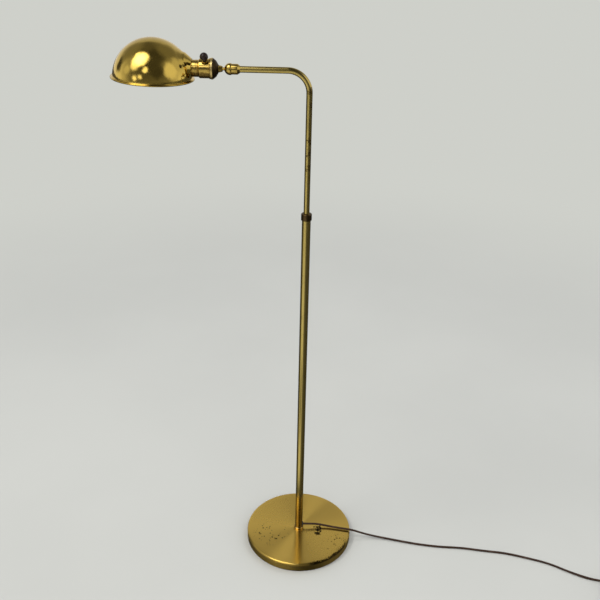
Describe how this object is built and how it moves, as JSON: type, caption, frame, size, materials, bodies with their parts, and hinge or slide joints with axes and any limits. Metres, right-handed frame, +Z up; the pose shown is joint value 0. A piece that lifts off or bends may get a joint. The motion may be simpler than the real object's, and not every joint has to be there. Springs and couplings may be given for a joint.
{
  "type": "bridge floor lamp",
  "caption": "Brass bridge floor lamp: round weighted base, sliding stem with a bent arm, ball swivel, turn-knob socket, half-round shade, brown cord with its plug.",
  "frame": {"origin": "middle of the felt under the base, on the floor", "axes": "+Z up along the stem; the arm points to -X; the cord leaves the foot to +X; -Y is the side the picture was taken from"},
  "size_m": [1.0965, 0.4042, 1.0862],
  "materials": {
    "spun_brass": "polished",
    "tube_brass": "polished, a little tarnished",
    "shade_brass": "polished",
    "socket_brass": "polished",
    "plain_brass": "bright machined",
    "dark_bronze": "dark patina",
    "iron": "rough cast",
    "steel": "zinc plated",
    "felt": "felt",
    "black_rubber": "matt",
    "nylon": "smooth",
    "fibre": "waxed board",
    "phenolic": "moulded",
    "bulb_metal": "rolled",
    "bulb_glass": "frosted",
    "knob_black": "polished",
    "lead_sheath": "smooth",
    "cord_brown": "smooth",
    "plug_brown": "moulded"
  },
  "bodies": {
    "stand": {"base_cover": "spun_brass", "base_weight": "iron", "felt_pad": "felt", "base_washer": "steel", "base_nut": "steel", "threaded_nipple": "steel", "foot_bushing": "plain_brass", "foot_ring": "socket_brass", "lower_tube": "tube_brass", "cord_grommet": "black_rubber", "slide_collar": "dark_bronze", "friction_bush": "plain_brass", "lead_lower": "cord_brown", "cord": "cord_brown", "cord_coil": "cord_brown", "cord_tail": "cord_brown", "plug_body": "plug_brown", "plug_blades": "plain_brass"},
    "guide": {"guide_ring": "nylon"},
    "mast": {"upper_tube": "tube_brass", "stop_ring_lower": "plain_brass", "stop_ring_upper": "plain_brass", "barrel_rear": "socket_brass", "swivel_pin": "steel", "ball_seat": "nylon", "seat_spring": "steel", "lead_upper": "lead_sheath"},
    "swivel": {"barrel_front": "socket_brass"},
    "ball": {"swivel_ball": "socket_brass", "lock_screw": "steel", "cap_nut": "plain_brass", "lead_ball": "lead_sheath"},
    "head": {"socket_cap": "dark_bronze", "socket_shell": "socket_brass", "switch_bushing": "plain_brass", "insulating_liner": "fibre", "socket_body": "phenolic", "screw_shell": "bulb_metal", "centre_contact": "plain_brass", "terminal_screws": "plain_brass", "lead_tails": "lead_sheath", "shade": "shade_brass", "shade_ring": "plain_brass", "bulb_cap": "bulb_metal", "bulb_glass": "bulb_glass"},
    "knob": {"switch_knob": "knob_black", "switch_shaft": "steel"}
  },
  "joints": [
    {"name": "height", "type": "slide", "parent": "stand", "child": "guide", "axis": [0, 0, 1], "range_m": [-0.205, 0.28], "deforming": ["lead_lower"]},
    {"name": "mast_turn", "type": "hinge", "parent": "guide", "child": "mast", "pos_m": [0, 0, 0.4543], "axis": [0, 0, 1], "range_deg": [-175, 175]},
    {"name": "head_roll", "type": "hinge", "parent": "mast", "child": "swivel", "pos_m": [-0.137, 0, 1.0365], "axis": [1, 0, 0], "range_deg": [-170, 170]},
    {"name": "head_tilt", "type": "hinge", "parent": "swivel", "child": "ball", "pos_m": [-0.137, 0, 1.0365], "axis": [0, -1, 0], "range_deg": [0, 70]},
    {"name": "head_spin", "type": "hinge", "parent": "ball", "child": "head", "pos_m": [-0.16, 0, 1.0365], "axis": [1, 0, 0], "range_deg": [-170, 170]},
    {"name": "knob_turn", "type": "hinge", "parent": "head", "child": "knob", "pos_m": [-0.1792, -0.01549, 1.05862], "axis": [0, -0.5736, 0.8192], "continuous": true}
  ]
}
